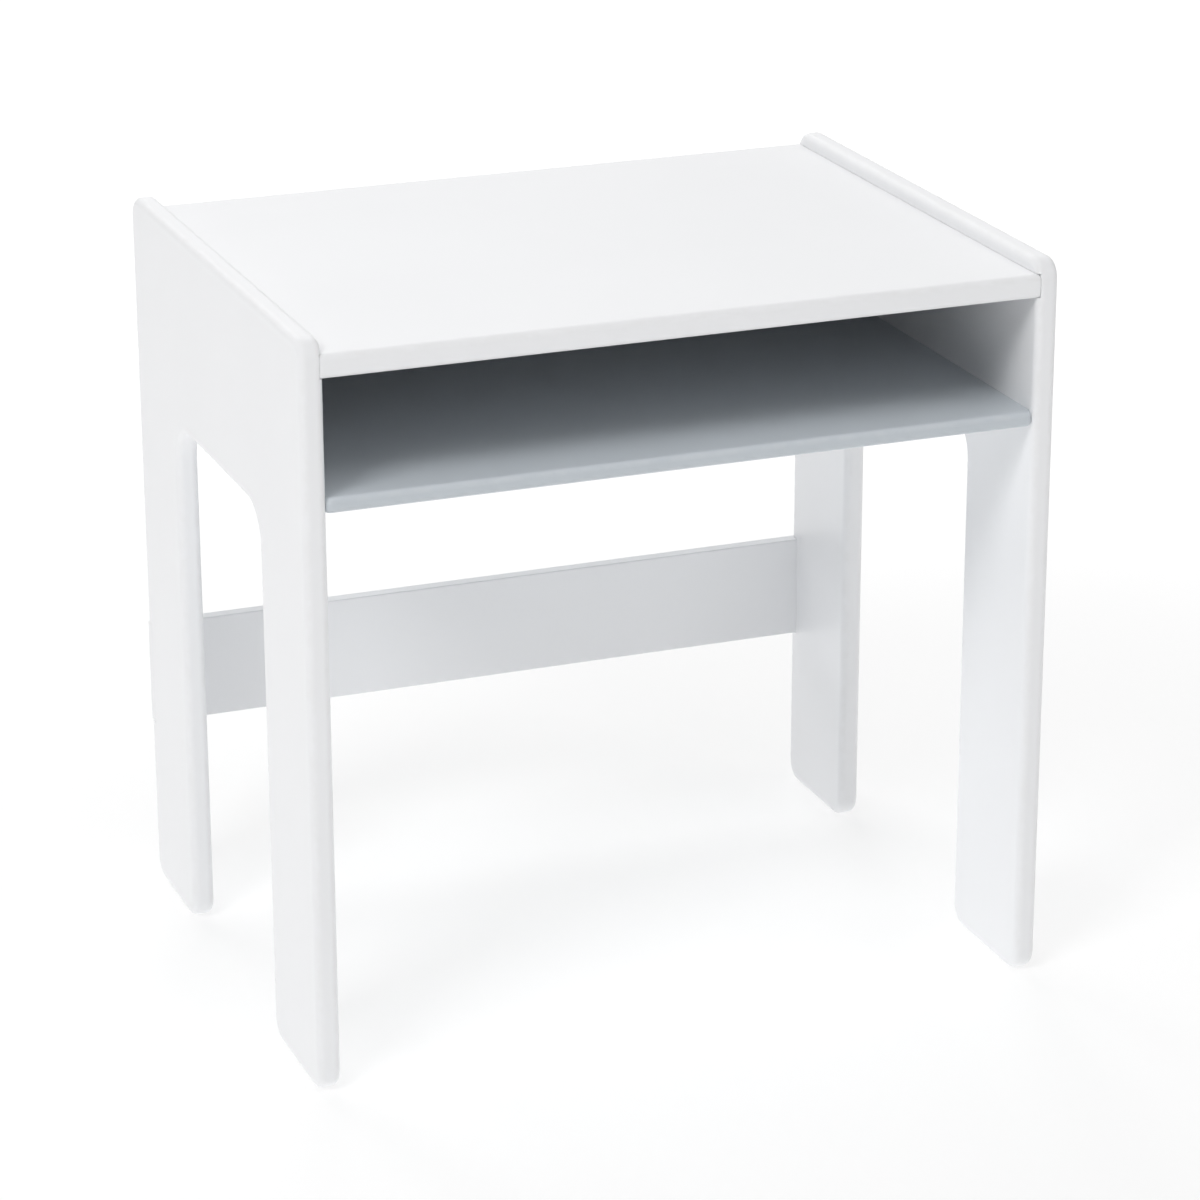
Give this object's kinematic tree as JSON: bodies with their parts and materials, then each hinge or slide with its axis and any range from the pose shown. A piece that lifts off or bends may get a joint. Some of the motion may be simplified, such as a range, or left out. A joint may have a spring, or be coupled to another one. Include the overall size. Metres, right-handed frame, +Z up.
{
  "type": "kids desk",
  "caption": "Small desk of two arched side panels with a lipped worktop, an open shelf under it with a closed back, and a low rear stretcher between the legs.",
  "frame": {"origin": "middle of the desk's footprint, on the floor", "axes": "+X to the right seen from the user's side, +Y from the user's side to the rear, +Z up"},
  "size_m": [0.6, 0.45, 0.59],
  "materials": {
    "white_lacquer": "satin white lacquer on medium density fibreboard",
    "grey_lacquer": "satin blue-grey lacquer on medium density fibreboard",
    "beech": "raw beech, fluted",
    "zinc_plated_steel": "bright zinc plate, turned",
    "die_cast_zinc": "dull die-cast zinc"
  },
  "bodies": {
    "root": {"left_side_panel": "white_lacquer", "right_side_panel": "white_lacquer", "worktop": "white_lacquer", "shelf": "grey_lacquer", "back_panel": "white_lacquer", "leg_stretcher": "white_lacquer", "worktop_dowels": "beech", "worktop_cam_bolts": "zinc_plated_steel", "worktop_cams": "die_cast_zinc", "shelf_dowels": "beech", "shelf_cam_bolts": "zinc_plated_steel", "shelf_cams": "die_cast_zinc", "back_panel_dowels": "beech", "back_panel_cam_bolts": "zinc_plated_steel", "back_panel_cams": "die_cast_zinc", "stretcher_screws": "zinc_plated_steel"}
  },
  "joints": []
}
